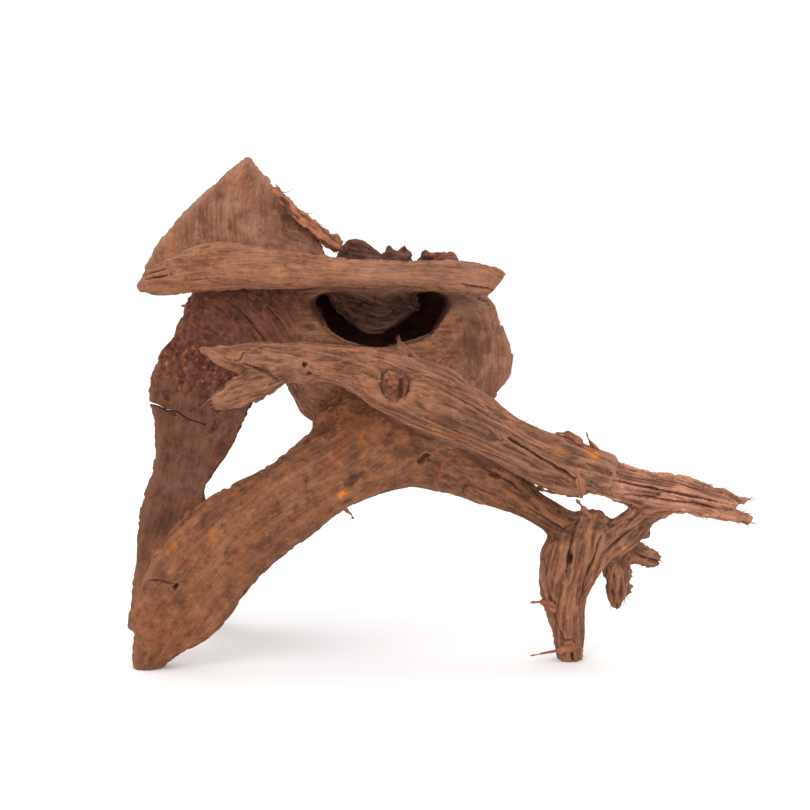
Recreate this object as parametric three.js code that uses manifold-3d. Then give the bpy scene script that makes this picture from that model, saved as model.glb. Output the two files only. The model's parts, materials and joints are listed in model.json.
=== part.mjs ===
// Aquarium driftwood: a weathered root collar with a hollow in it, standing on three legs.
//
// X runs along the root, Y away from its front, Z up, all in millimetres. The root rests on Z = 0.
// Each limb is a loft along a line of stations. A station is [x, y, z, width, depth]: a point on the
// limb's middle line, how wide the limb is there seen from the front, and how deep it is along Y.
// Where limbs meet, the later one in the list is trimmed by the earlier ones, and SEAM is left
// between them.
import * as THREE from "three";
import Module from "manifold-3d";
import { mergeVertices } from "three/addons/utils/BufferGeometryUtils.js";

const wasm = await Module();
wasm.setup();

// Overall sizes. The stations below are drawn for these.
const DRAWN = { length: 426, depth: 175, height: 344 };
const LENGTH = 426;
const DEPTH = 175;
const HEIGHT = 344;

// Sizes that are set by themselves.
const SEAM = 0.3; // gap between neighbouring pieces
const CAVE_WALL = 9; // wood left behind the hollow
const CAVE_WIDTH = 100; // inside of the hollow, side to side
const CAVE_HEIGHT = 60;
const CAVE_DEPTH = 60;
const MOUTH_WIDTH = 95; // way into the hollow
const MOUTH_DROP = 33; // from the mouth's widest level down to its lip
const MOUTH_RISE = 6; // and up to its top
const FAN_THICKNESS = 8;
const BLADE_THICKNESS = 9;
const KNOT_RADIUS = 10.5; // face of the dead knot in the front branch
const KNOT_DEPTH = 15;
const CRACK_WIDTH = 2.4; // drying crack in the blade, at the blade's edge
const CRACK_LENGTH = 50;
const CRACK_FALL = 22; // how much lower its inner end is
const SLIT_LENGTH = 13; // see-through slit at the root of the lower branch
const SLIT_HEIGHT = 3.2;

const SIDES = 12; // corners of a limb's section
const SPLINTER_SIDES = 6;
const RINGS = 3; // from one station to the next
const FAR = 400; // longer than any limb

const sx = LENGTH / DRAWN.length;
const sy = DEPTH / DRAWN.depth;
const sz = HEIGHT / DRAWN.height;

function at(x, y, z) {
  return new THREE.Vector3(x * sx, y * sy, z * sz);
}

// ---- shapes ------------------------------------------------------------------------------------

// A closed limb along its stations. Square above 1 flattens its section's faces, bow bends a plate
// back in its middle, gnarl makes the section uneven, and grow swells the limb all over.
function loft(stations, { sides = SIDES, square = 1, bow = 0, gnarl = 0.05, grow = 0 } = {}) {
  const spline = (points) => new THREE.CatmullRomCurve3(points, false, "catmullrom");
  const line = spline(stations.map(([x, y, z]) => at(x, y, z)));
  const sizes = spline(stations.map(([, , , width, depth]) => new THREE.Vector3(width, depth, 0)));
  const squared = (c) => Math.sign(c) * Math.abs(c) ** (1 / square);

  const geometry = new THREE.CylinderGeometry(1, 1, 1, sides, (stations.length - 1) * RINGS);
  const places = geometry.getAttribute("position");
  for (let i = 0; i < places.count; i++) {
    const t = THREE.MathUtils.clamp(places.getY(i) + 0.5, 0, 1);
    const [cos, sin] = [places.getX(i), places.getZ(i)];
    const angle = Math.atan2(sin, cos);
    const along = line.getPoint(Math.min(t + 0.02, 1)).sub(line.getPoint(Math.max(t - 0.02, 0)));
    along.setY(0).normalize();
    const across = new THREE.Vector3(along.z, 0, -along.x);
    const wide = across.clone().multiply(at(1, 1, 1)).multiplyScalar(sizes.getPoint(t).x / 2);
    const uneven = 1 + gnarl * (Math.sin(3 * angle + 9 * t) + 0.6 * Math.sin(5 * angle - 17 * t));
    const deep = ((sizes.getPoint(t).y / 2) * uneven + grow) * squared(sin);
    const beyond = grow * (Number(t > 0.999) - Number(t < 0.001));
    const place = line.getPoint(t)
      .addScaledVector(wide, squared(cos))
      .addScaledVector(across, grow * squared(cos))
      .addScaledVector(along, beyond);
    place.y += deep + bow * (1 - cos * cos) * Math.sin(Math.PI * t);
    places.setXYZ(i, place.x, place.y, place.z);
  }
  return solid(geometry);
}

// A geometry as a manifold-3d solid, turned the right way out.
function solid(geometry) {
  const bare = geometry.clone();
  bare.deleteAttribute("normal");
  bare.deleteAttribute("uv");
  const merged = mergeVertices(bare, 1e-3);
  const vertProperties = new Float32Array(merged.getAttribute("position").array);
  const triVerts = new Uint32Array(merged.index.array);
  const made = new wasm.Manifold(new wasm.Mesh({ numProp: 3, vertProperties, triVerts }));
  if (made.volume() > 0) return made;
  for (let i = 0; i < triVerts.length; i += 3) {
    [triVerts[i + 1], triVerts[i + 2]] = [triVerts[i + 2], triVerts[i + 1]];
  }
  return new wasm.Manifold(new wasm.Mesh({ numProp: 3, vertProperties, triVerts }));
}

function geometryOf(manifold) {
  const mesh = manifold.getMesh();
  const geometry = new THREE.BufferGeometry();
  geometry.setAttribute("position", new THREE.BufferAttribute(mesh.vertProperties, 3));
  geometry.setIndex(new THREE.BufferAttribute(mesh.triVerts, 1));
  const faceted = geometry.toNonIndexed();
  faceted.computeVertexNormals();
  return faceted;
}

// The biggest body of a cut piece: the shavings beside a seam are dropped.
function biggest(manifold) {
  return manifold.decompose().reduce((best, m) => (m.volume() > best.volume() ? m : best));
}

function ellipsoid(centre, radii) {
  const ball = new THREE.SphereGeometry(1, 20, 14);
  ball.scale(radii.x, radii.y, radii.z);
  ball.translate(centre.x, centre.y, centre.z);
  return solid(ball);
}

// Everything between two x and two z, whatever its y.
function slab(fromX, toX, fromZ, toZ) {
  const box = new THREE.BoxGeometry(toX - fromX, 2 * FAR, toZ - fromZ);
  box.translate((fromX + toX) / 2, 0, (fromZ + toZ) / 2);
  return solid(box);
}

// An outline in X and Z, cut straight through from one y to another.
function through(outline, fromY, toY) {
  const depth = toY - fromY;
  const cut = new THREE.ExtrudeGeometry(outline, { depth, bevelEnabled: false, curveSegments: 2 });
  cut.rotateX(Math.PI / 2);
  cut.translate(0, toY, 0);
  return solid(cut);
}

// ---- the hollow --------------------------------------------------------------------------------

const COLLAR = [
  [-170, 12, 238, 40, 16],
  [-130, 16, 232, 62, 30],
  [-95, 24, 229, 74, 56],
  [-55, 30, 210, 120, 80],
  [-15, 33, 207, 125, 86],
  [20, 25, 208, 102, 66],
  [36, 16, 206, 66, 32],
  [51, 10, 204, 18, 8],
];
const COLLAR_BACK = at(0, 74, 0).y;
const MOUTH = at(-40, 0, 250);
const CHAMBER = at(-40, 0, 230).setY(COLLAR_BACK - CAVE_WALL - CAVE_DEPTH / 2);

// A bowl below the mouth's widest level and a flat arch above it.
function mouthOutline(grow) {
  const outline = new THREE.Shape();
  const half = MOUTH_WIDTH / 2 + grow;
  outline.absellipse(MOUTH.x, MOUTH.z, half, MOUTH_RISE + grow, 0, Math.PI);
  outline.absellipse(MOUTH.x, MOUTH.z, half, MOUTH_DROP + grow, Math.PI, 2 * Math.PI);
  return outline;
}

// The room inside the collar and the way into it, less grow all round.
function hollow(grow) {
  const radii = new THREE.Vector3(CAVE_WIDTH / 2, CAVE_DEPTH / 2, CAVE_HEIGHT / 2);
  radii.subScalar(grow);
  return ellipsoid(CHAMBER, radii).add(through(mouthOutline(-grow), -FAR, CHAMBER.y));
}

// The dished face right of the hollow, scooped out of the collar.
function dish(grow) {
  const radii = new THREE.Vector3(40 * sx, 50 * sy, 50 * sz).subScalar(grow);
  return ellipsoid(at(18, -45, 222), radii);
}

function collar(grow) {
  return loft(COLLAR, { grow, square: 1.4 }).subtract(hollow(grow)).subtract(dish(grow));
}

// The collar's walls, as [name, fromX, toX, fromZ, toZ].
const LEFT_WALL_X = -98 * sx;
const RIGHT_WALL_X = 12 * sx;
const FLOOR_Z = 212 * sz;
const ROOF_Z = 248 * sz;
const COLLAR_PIECES = [
  ["cave_left_wall", -FAR, LEFT_WALL_X, -FAR, FAR],
  ["cave_right_wall", RIGHT_WALL_X, FAR, -FAR, FAR],
  ["cave_floor", LEFT_WALL_X, RIGHT_WALL_X, -FAR, FLOOR_Z],
  ["cave_back_wall", LEFT_WALL_X, RIGHT_WALL_X, FLOOR_Z, ROOF_Z],
  ["cave_roof", LEFT_WALL_X, RIGHT_WALL_X, ROOF_Z, FAR],
];

// ---- limbs -------------------------------------------------------------------------------------

// From under the hollow down to the left, where it stands.
const LEFT_LEG = [
  [-20, -5, 160, 76, 50],
  [-65, -10, 140, 60, 50],
  [-110, -15, 108, 60, 44],
  [-150, -19, 80, 66, 36],
  [-176, -21, 46, 64, 29],
  [-193, -21, 18, 36, 22],
  [-202, -21, -8, 14, 17],
];
// The thin old wood between the collar and the left foot.
const LEFT_BLADE = [
  [-154, 12, 252, 36, BLADE_THICKNESS],
  [-152, 9, 215, 64, BLADE_THICKNESS],
  [-162, 5, 186, 74, BLADE_THICKNESS],
  [-166, -1, 158, 58, BLADE_THICKNESS],
  [-176, -7, 128, 38, BLADE_THICKNESS],
  [-181, -13, 104, 44, BLADE_THICKNESS + 2],
  [-192, -17, 62, 30, BLADE_THICKNESS + 3],
  [-205, -20, 25, 15, BLADE_THICKNESS],
];
// The heart of the root, where the legs and branches spring.
const HUB = [
  [-84, 0, 168, 22, 30],
  [-68, 3, 164, 62, 48],
  [-40, 4, 161, 80, 62],
  [-10, 2, 158, 78, 58],
  [28, -3, 145, 66, 38],
];
const LOWER_BRANCH = [
  [0, -4, 140, 42, 44],
  [35, -4, 129, 40, 38],
  [62, -3, 110, 25, 30],
  [88, -3, 94, 23, 28],
  [106, -3, 85, 28, 26],
];
// The long one across the front, above the hub.
const FRONT_BRANCH = [
  [-159, -46, 222, 4, 4],
  [-140, -45, 217, 16, 14],
  [-105, -42, 213, 28, 28],
  [-65, -39, 210, 27, 33],
  [-30, -35, 198, 46, 42],
  [10, -29, 178, 42, 42],
  [50, -23, 155, 35, 39],
  [90, -17, 138, 37, 35],
  [118, -13, 132, 26, 24],
];
const BRANCH_FORK = [
  [-98, -41, 216, 26, 24],
  [-120, -45, 199, 23, 21],
  [-138, -48, 191, 16, 16],
  [-149, -50, 187, 9, 8],
];
const BRANCH_END = [
  [98, -8, 134, 28, 20],
  [130, -9, 123, 27, 25],
  [160, -9, 118, 28, 22],
  [190, -8, 111, 23, 14],
  [202, -8, 108, 19, 11],
];
const UPPER_FINGER = [
  [192, -9, 117, 13, 11],
  [210, -10, 113, 5, 5],
];
const LOWER_FINGER = [
  [192, -8, 105, 11, 12],
  [204, -8, 102, 10, 9],
  [213, -8, 99, 7, 6],
];
// Level along the top, with the fan standing on its left half.
const TOP_BEAM = [
  [-202, -18, 258, 6, 7],
  [-190, -18, 264, 21, 15],
  [-147, -19, 274, 33, 26],
  [-105, -20, 271, 28, 29],
  [-50, -19, 269, 21, 27],
  [5, -13, 267, 22, 30],
  [30, -9, 263, 25, 26],
  [47, -5, 260, 10, 10],
];
const FAN = [
  [-135, -9, 263, 134, FAN_THICKNESS],
  [-134, 3, 288, 112, FAN_THICKNESS],
  [-133, 10, 309, 74, FAN_THICKNESS],
  [-131, 16, 330, 32, FAN_THICKNESS - 2],
  [-130, 19, 344, 4, FAN_THICKNESS / 2],
];
const TORN_STRIP = [
  [-112, 6, 325, 6, 6],
  [-100, 3, 312, 9, 9],
  [-86, 0, 299, 8, 10],
  [-68, -4, 286, 9, 7],
];
const FOOT = [
  [99, -3, 104, 24, 22],
  [100, -5, 87, 42, 32],
  [90, -5, 67, 44, 33],
  [86, -2, 46, 32, 28],
  [90, 1, 22, 20, 23],
  [92, 3, -6, 15, 19],
];
const CROSS_BRANCH = [
  [104, -2, 83, 28, 27],
  [121, -4, 86, 27, 24],
  [140, -7, 103, 18, 18],
  [154, -9, 112, 18, 15],
];
const TOE = [
  [123, 3, 80, 20, 20],
  [124, 7, 60, 17, 16],
  [125, 9, 45, 14, 10],
  [128, 9, 33, 5, 4],
];
const STUB = [
  [124, 5, 79, 20, 20],
  [140, 11, 72, 16, 15],
  [154, 16, 66, 10, 11],
];
const SMALL_STUB = [
  [137, -4, 99, 14, 10],
  [144, -2, 86, 5, 4],
];
// Behind the left leg, so that the root stands.
const REAR_LEG = [
  [-30, 36, 165, 48, 44],
  [-80, 57, 123, 46, 38],
  [-130, 82, 80, 42, 31],
  [-170, 98, 42, 40, 26],
  [-194, 107, -8, 22, 22],
];
const ROOF_WEDGE = [
  [-67, 16, 271, 14, 6],
  [-58, 18, 277, 25, 14],
  [-37, 18, 270, 13, 5],
];
const ROOF_HORNS = [
  [-38, 20, 275, 24, 8],
  [-28, 20, 272, 16, 11],
  [-19, 20, 275, 23, 8],
];
const ROOF_BURL = [
  [-13, 12, 270, 12, 7],
  [-6, 13, 273, 20, 13],
  [4, 14, 272, 18, 13],
  [10, 13, 270, 12, 6],
];
// Old broken wood hanging in the hollow's mouth.
const INNER_ROOT = [
  [-76, 14, 249, 12, 8],
  [-60, 15, 247, 36, 23],
  [-40, 16, 245, 46, 28],
  [-22, 18, 244, 32, 21],
  [-10, 20, 241, 6, 5],
];
const LIP_STUB = [
  [-28, -34, 230, 8, 7],
  [-24, -34, 220, 10, 10],
  [-17, -34, 209, 18, 12],
];

// ---- shreds that stand off the wood ------------------------------------------------------------

const SHREDS = {
  top_splinter: [[99, -16, 162, 2, 2], [106, -16, 147, 5, 4]],
  top_flake: [[77, -20, 160, 5, 5], [86, -20, 160, 8, 7], [93, -20, 156, 5, 6]],
  hanging_splinter: [[91, -32, 139, 6, 5], [95, -34, 129, 8, 5], [95, -35, 120, 2, 3]],
  gap_sliver: [[70, -3, 120, 4, 3], [96, -3, 115, 2, 2]],
  curled_flake: [[93, -14, 115, 4, 4], [98, -13, 109, 5, 5], [104, -12, 100, 6, 6]],
  foot_splinter: [[91, -10, 11, 6, 4], [77, -10, 8, 2, 3], [63, -12, 6, 2, 2]],
  foot_tuft: [[81, -10, 42, 11, 8], [70, -10, 43, 5, 6], [63, -11, 43, 3, 3]],
  leg_thorn: [[-67, -14, 114, 6, 6], [-58, -14, 102, 2, 2]],
  edge_splinter: [[-161, 11, 247, 7, 5], [-175, 7, 245, 2, 2]],
};

// ---- the dead knot, a cone of old branch held in the front branch ---------------------------------

// It stands a little proud of the branch at this station.
const KNOT_STATION = FRONT_BRANCH[4];
const KNOT_PROUD = 1;

function knot(grow) {
  const profile = [
    [0, -grow],
    [KNOT_RADIUS * 0.6 + grow, -grow],
    [KNOT_RADIUS + grow, KNOT_DEPTH - 2],
    [KNOT_RADIUS * 0.85 + grow, KNOT_DEPTH + grow],
    [0, KNOT_DEPTH + KNOT_PROUD + grow],
  ];
  const cone = new THREE.LatheGeometry(profile.map(([r, h]) => new THREE.Vector2(r, h)), 18);
  cone.rotateX(Math.PI);
  const [x, y, z, , depth] = KNOT_STATION;
  const middle = at(x, y, z);
  cone.translate(middle.x, middle.y - depth / 2 - KNOT_PROUD + KNOT_DEPTH, middle.z);
  return solid(cone);
}

// ---- cracks and the ground ------------------------------------------------------------------------

// A long wedge that runs in from the blade's outer edge.
function bladeCrack() {
  const [x, , z, width] = LEFT_BLADE[2];
  const mouth = at(x - width / 2 - 4, 0, z);
  const outline = new THREE.Shape();
  outline.moveTo(mouth.x, mouth.z + CRACK_WIDTH / 2);
  outline.lineTo(mouth.x, mouth.z - CRACK_WIDTH / 2);
  outline.lineTo(mouth.x + CRACK_LENGTH, mouth.z - CRACK_FALL);
  outline.closePath();
  return through(outline, -FAR, FAR);
}

// A lens-shaped slit, through from front to back.
function slit() {
  const radii = new THREE.Vector3(SLIT_LENGTH / 2, FAR, SLIT_HEIGHT / 2);
  return ellipsoid(at(53, -4, 125), radii);
}

const ground = () => slab(-FAR, FAR, -FAR, 0);

// ---- the list, in the order that the limbs keep their whole shape ----------------------------------

const WOOD = 0x8e5f47;
const WARM = 0x90593d;
const GREY = 0x725040;
const DARK = 0x482922;
const PALE = 0xa1715c;

const limbs = [
  { name: "front_branch", stations: FRONT_BRANCH, colour: WOOD, cuts: [() => knot(SEAM)] },
  { name: "left_leg", stations: LEFT_LEG, colour: WARM, cuts: [ground] },
  { name: "right_foot", stations: FOOT, colour: WOOD, cuts: [ground] },
  { name: "top_beam", stations: TOP_BEAM, colour: WOOD },
  { name: "hub", stations: HUB, colour: WARM, cuts: [() => hollow(0)] },
  { name: "branch_fork", stations: BRANCH_FORK, colour: WOOD },
  { name: "lower_branch", stations: LOWER_BRANCH, colour: WOOD, cuts: [slit] },
  { name: "branch_end", stations: BRANCH_END, colour: PALE },
  { name: "upper_finger", stations: UPPER_FINGER, colour: PALE, look: { sides: 10 } },
  { name: "lower_finger", stations: LOWER_FINGER, colour: PALE, look: { sides: 10 } },
  { name: "cross_branch", stations: CROSS_BRANCH, colour: WOOD },
  { name: "toe", stations: TOE, colour: WOOD, look: { sides: 12 } },
  { name: "stub", stations: STUB, colour: WOOD, look: { sides: 12 } },
  { name: "small_stub", stations: SMALL_STUB, colour: WOOD, look: { sides: 10 } },
  { name: "rear_leg", stations: REAR_LEG, colour: WARM, cuts: [ground] },
  {
    name: "left_blade",
    stations: LEFT_BLADE,
    colour: GREY,
    look: { square: 1.6, bow: 4 },
    cuts: [bladeCrack],
  },
  { name: "fan", stations: FAN, colour: WOOD, look: { square: 1.8, bow: 7, gnarl: 0.02 } },
];
for (const [name, fromX, toX, fromZ, toZ] of COLLAR_PIECES) {
  limbs.push({
    name,
    colour: WOOD,
    shape: (grow) => {
      const g = grow - SEAM / 2;
      return collar(grow).intersect(slab(fromX - g, toX + g, fromZ - g, toZ + g));
    },
  });
}
limbs.push(
  { name: "inner_root", stations: INNER_ROOT, colour: DARK, look: { sides: 12, gnarl: 0.1 } },
  { name: "roof_wedge", stations: ROOF_WEDGE, colour: DARK, look: { sides: 10, square: 1.5 } },
  { name: "roof_horns", stations: ROOF_HORNS, colour: DARK, look: { sides: 10, square: 1.3 } },
  { name: "roof_burl", stations: ROOF_BURL, colour: DARK, look: { sides: 10, gnarl: 0.1 } },
  { name: "lip_stub", stations: LIP_STUB, colour: WOOD, look: { sides: 10 } },
  { name: "torn_strip", stations: TORN_STRIP, colour: PALE, look: { sides: 8, gnarl: 0.15 } },
);
for (const [name, stations] of Object.entries(SHREDS)) {
  limbs.push({ name, stations, colour: PALE, look: { sides: SPLINTER_SIDES, gnarl: 0 } });
}
limbs.push({ name: "dead_knot", colour: WOOD, shape: (grow) => knot(grow) });

// ---- the assembly --------------------------------------------------------------------------------

function addMesh(group, name, manifold, colour) {
  const material = new THREE.MeshStandardMaterial({ color: colour, roughness: 0.9, metalness: 0 });
  const mesh = new THREE.Mesh(geometryOf(manifold), material);
  mesh.name = name;
  group.add(mesh);
}

function build() {
  const root = new THREE.Group();
  const whole = [];
  for (const { name, stations, colour, look = {}, cuts = [], shape } of limbs) {
    const make = shape ?? ((grow) => loft(stations, { ...look, grow }));
    let piece = make(0);
    for (const cut of cuts) piece = piece.subtract(cut());
    for (const earlier of whole) piece = piece.subtract(earlier);
    addMesh(root, name, biggest(piece), colour);
    let swollen = make(SEAM).add(make(0));
    for (const cut of cuts) if (cut !== ground) swollen = swollen.subtract(cut());
    whole.push(swollen);
  }
  return root;
}

const root = build();

// The origin is the middle of the ground under the root.
const box = new THREE.Box3().setFromObject(root);
root.position.set(-(box.min.x + box.max.x) / 2, -(box.min.y + box.max.y) / 2, -box.min.z);

export default root;
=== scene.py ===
"""Aquarium driftwood: the weathered surface, knots, cracks and torn fibres of a root, around its limbs."""

import json
import math

import bmesh
import bpy
import numpy as np
from mathutils import Matrix, Vector
from mathutils.bvhtree import BVHTree

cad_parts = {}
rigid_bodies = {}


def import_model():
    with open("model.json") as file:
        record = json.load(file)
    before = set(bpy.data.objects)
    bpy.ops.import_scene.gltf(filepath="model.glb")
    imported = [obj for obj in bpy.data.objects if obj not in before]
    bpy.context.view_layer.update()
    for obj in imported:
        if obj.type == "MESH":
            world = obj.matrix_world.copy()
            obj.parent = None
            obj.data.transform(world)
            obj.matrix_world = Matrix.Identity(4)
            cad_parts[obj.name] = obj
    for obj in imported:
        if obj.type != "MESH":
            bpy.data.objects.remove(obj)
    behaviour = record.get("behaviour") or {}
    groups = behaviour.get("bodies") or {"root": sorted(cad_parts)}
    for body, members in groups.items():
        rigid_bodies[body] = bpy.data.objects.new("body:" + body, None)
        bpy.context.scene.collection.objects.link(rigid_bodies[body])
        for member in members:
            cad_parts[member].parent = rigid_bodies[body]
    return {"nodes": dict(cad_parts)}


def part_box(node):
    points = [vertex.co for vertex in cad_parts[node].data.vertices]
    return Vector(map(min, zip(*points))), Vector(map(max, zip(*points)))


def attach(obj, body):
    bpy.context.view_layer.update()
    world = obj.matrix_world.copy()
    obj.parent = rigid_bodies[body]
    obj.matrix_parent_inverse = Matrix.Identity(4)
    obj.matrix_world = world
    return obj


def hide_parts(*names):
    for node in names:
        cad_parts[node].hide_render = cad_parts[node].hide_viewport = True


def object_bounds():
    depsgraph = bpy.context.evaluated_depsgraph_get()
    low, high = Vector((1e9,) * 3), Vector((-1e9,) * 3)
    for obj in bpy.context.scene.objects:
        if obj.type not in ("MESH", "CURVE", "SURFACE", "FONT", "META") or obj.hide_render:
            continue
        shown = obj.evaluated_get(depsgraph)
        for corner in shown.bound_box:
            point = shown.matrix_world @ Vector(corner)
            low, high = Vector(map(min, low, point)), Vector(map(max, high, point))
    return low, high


bl_info = {
    "name": "Driftwood Root",
    "version": (1, 0, 0),
    "blender": (4, 5, 0),
    "location": "View3D > Sidebar > Driftwood",
    "description": "Grows a weathered wood surface over the limbs of a driftwood root",
    "category": "Add Mesh",
}

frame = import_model()
CAD_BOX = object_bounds()

MM = 0.001
BODY = "root"
RIM_DEPTH = 3.2 * MM  # how far a parted limb's rim turns into the wood
LIMB_SWELL = 0.25 * MM  # closes the seams between the limbs
ROUGH_SIZE = 1.6 * MM  # point spacing of the first surface, which is filleted
MERGE_GAP = 0.01 * MM  # points nearer than this are one point
# Painted shade: the sides of the blade's open crack are coloured near black.
CRACK_SIDE_SHADE = (0.03, 0.012, 0.01, 1)  # the dark sides of the blade's open crack

# The limbs that grow together into one root: finish, how stringy, how lumpy, how rotten.
LIMBS = {
    "front_branch": ("wood", 0.85, 1.0, 0.0),
    "branch_fork": ("wood", 1.1, 0.8, 0.0),
    "branch_end": ("pale_wood", 1.35, 0.6, 0.0),
    "upper_finger": ("pale_wood", 1.2, 0.5, 0.15),
    "lower_finger": ("pale_wood", 1.2, 0.5, 0.15),
    "left_leg": ("warm_wood", 0.22, 1.2, 0.0),
    "left_blade": ("grey_wood", 0.2, 0.9, 0.0),
    "hub": ("warm_wood", 0.75, 1.0, 0.0),
    "lower_branch": ("warm_wood", 0.95, 0.9, 0.0),
    "right_foot": ("wood", 0.95, 1.0, 0.0),
    "cross_branch": ("wood", 1.15, 0.9, 0.0),
    "toe": ("wood", 1.1, 0.9, 0.25),
    "stub": ("wood", 1.1, 0.7, 0.15),
    "small_stub": ("wood", 1.0, 0.6, 0.15),
    "rear_leg": ("warm_wood", 0.8, 1.1, 0.0),
    "top_beam": ("wood", 0.33, 0.9, 0.0),
    "fan": ("plate_wood", 0.3, 0.7, 0.0),
    "cave_left_wall": ("red_wood", 0.75, 1.0, 0.1),
    "cave_right_wall": ("plate_wood", 0.25, 1.1, 0.0),
    "cave_floor": ("wood", 0.6, 0.9, 0.0),
    "cave_back_wall": ("wood", 0.6, 0.9, 0.1),
    "cave_roof": ("wood", 0.7, 0.9, 0.1),
    "inner_root": ("dark_wood", 1.3, 0.7, 0.25),
    "lip_stub": ("wood", 1.1, 0.6, 0.4),
    "roof_wedge": ("dark_wood", 1.0, 0.9, 0.3),
    "roof_horns": ("dark_wood", 0.9, 0.7, 0.4),
    "roof_burl": ("red_wood", 1.1, 0.9, 0.7),
    "torn_strip": ("torn_fibre", 1.3, 0.9, 0.9),
}
# Limbs whose grain doesn't follow their longest side.
GRAIN_ALONG = {
    "fan": (0.15, 0.0, -1.0),
    "cave_left_wall": (0.6, 0.0, -0.8),
    "hub": (1.0, 0.0, -0.25),
    "cave_floor": (1.0, 0.0, -0.2),
    "cave_back_wall": (1.0, 0.0, 0.0),
    "cave_roof": (1.0, 0.0, 0.0),
    "cave_right_wall": (0.35, 0.0, -1.0),
    "lip_stub": (0.5, 0.0, -0.85),
    "inner_root": (0.8, 0.0, -0.6),
}
# How deep the outer edges of a limb are bitten away, in millimetres.
EDGE_WEAR = {
    "fan": 2.6,
    "left_blade": 2.2,
    "cave_right_wall": 3.0,
    "torn_strip": 3.5,
    "left_leg": 1.0,
    "top_beam": 1.0,
    "branch_end": 1.8,
    "upper_finger": 1.4,
    "lower_finger": 1.4,
    "branch_fork": 1.4,
    "toe": 1.6,
    "stub": 1.4,
    "roof_burl": 1.6,
}
# Walls that are thin behind the hollow, and how many millimetres thicker they are made there.
THIN_WALLS = {"cave_back_wall": 4.2, "cave_roof": 4.2}
# Broken limbs, cut by flat faces: which way a face looks, and how far out it lies.
BROKEN_FACES = {
    "inner_root": [
        ((-0.5, -0.85, -0.1), 0.52),
        ((0.55, -0.8, -0.2), 0.55),
        ((-0.65, -0.3, -0.7), 0.6),
        ((0.62, -0.25, -0.75), 0.58),
        ((0.1, -0.6, 0.8), 0.6),
        ((0.9, -0.3, 0.35), 0.75),
    ],
    "top_beam": [((-0.8, 0.0, 0.6), 0.94), ((0.75, 0.0, -0.66), 0.985), ((0.45, 0.0, 0.89), 0.97)],
    "roof_wedge": [((0.6, -0.2, 0.8), 0.62), ((-0.8, -0.3, 0.5), 0.75), ((0.1, -0.9, 0.4), 0.6)],
    "roof_horns": [((0.1, -0.9, 0.3), 0.7), ((-0.3, 0.9, 0.3), 0.7)],
    "lip_stub": [((-0.7, -0.6, 0.4), 0.6), ((0.7, -0.7, 0.2), 0.6)],
    "toe": [((0.2, -0.9, 0.1), 0.72), ((0.8, -0.3, -0.5), 0.7), ((-0.8, -0.3, -0.5), 0.72)],
    "stub": [((0.1, -0.95, 0.2), 0.7), ((0.6, 0.1, 0.8), 0.8)],
}
# Splinters and flakes, and which end grows from the wood: 0 the left or top end, 1 the other.
SHREDS = {
    "top_splinter": 1,
    "top_flake": 1,
    "hanging_splinter": 0,
    "gap_sliver": 0,
    "curled_flake": 1,
    "foot_splinter": 1,
    "foot_tuft": 1,
    "leg_thorn": 0,
    "edge_splinter": 1,
}
# Loose fibres: limb, the stretch of it that they grow from, how many, their length in millimetres,
# and which way they run along the limb.
FRAYED = [
    ("branch_fork", (0.0, 0.25), 22, 7, -1),
    ("branch_end", (0.72, 1.0), 26, 9, 1),
    ("upper_finger", (0.4, 1.0), 14, 7, 1),
    ("lower_finger", (0.4, 1.0), 26, 8, 1),
    ("torn_strip", (0.0, 1.0), 60, 9, 1),
    ("lip_stub", (0.0, 0.35), 12, 4, -1),
    ("roof_burl", (0.0, 1.0), 20, 4, 1),
    ("toe", (0.7, 1.0), 14, 6, 1),
    ("stub", (0.6, 1.0), 12, 5, 1),
    ("right_foot", (0.85, 1.0), 14, 5, 1),
    ("front_branch", (0.72, 1.0), 26, 9, 1),
]

# Marks in the wood. A place is (how far along the limb, left or top end first; how far across it,
# -1 to 1, the upper or right edge last). Sizes are in millimetres.
# Patches of bare orange heartwood: limb, place, length, width, strength.
HEARTWOOD = [
    ("left_leg", (0.73, -0.3), 9, 6, 1.0),
    ("left_leg", (0.85, 0.3), 8, 5, 0.55),
    ("left_leg", (0.4, 0.45), 9, 5, 0.35),
    ("left_leg", (0.12, 0.7), 9, 4, 0.5),
    ("left_leg", (0.32, 0.8), 7, 4, 0.45),
    ("hub", (0.5, 0.1), 13, 6, 0.75),
    ("hub", (0.3, 0.25), 9, 4, 0.4),
    ("front_branch", (0.92, 0.6), 10, 6, 0.9),
    ("front_branch", (0.84, 0.35), 14, 4, 0.35),
    ("front_branch", (0.6, -0.6), 26, 4, 0.35),
    ("cross_branch", (0.3, -0.5), 6, 4, 0.7),
    ("fan", (0.1, -0.1), 9, 8, 0.25),
    ("fan", (0.45, -0.8), 14, 4, 0.25),
    ("lower_branch", (0.35, 0.3), 9, 4, 0.35),
]
# Dark stains, two of them painted shadow: limb, place, length, width, strength.
STAINS_AND_SHADOWS = [
    ("left_leg", (0.77, -0.2), 13, 5, 0.85),
    ("left_leg", (0.9, 0.05), 9, 5, 0.6),
    ("left_leg", (0.42, 0.75), 26, 7, 0.5),
    ("left_leg", (0.24, 0.55), 12, 3, 0.5),
    ("left_leg", (0.62, 0.85), 60, 3, 0.5),
    ("left_blade", (0.55, 0.9), 90, 7, 0.5),
    ("hub", (0.62, 0.15), 16, 11, 0.6),
    # painted shadow under the front branch
    ("hub", (0.55, 0.6), 44, 8, 0.6),
    ("hub", (0.25, -0.15), 9, 6, 0.6),
    ("front_branch", (0.13, -0.75), 16, 5, 0.7),
    ("cave_left_wall", (0.1, 0.3), 30, 16, 0.55),
    ("cave_right_wall", (0.55, -0.3), 8, 5, 0.3),
    # painted shadow under the torn strip
    ("fan", (0.62, 0.8), 60, 12, 0.65),
    ("fan", (0.35, 0.9), 40, 6, 0.5),
    ("right_foot", (0.12, -0.6), 20, 9, 0.7),
    ("lower_branch", (0.85, -0.5), 30, 8, 0.5),
]
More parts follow.
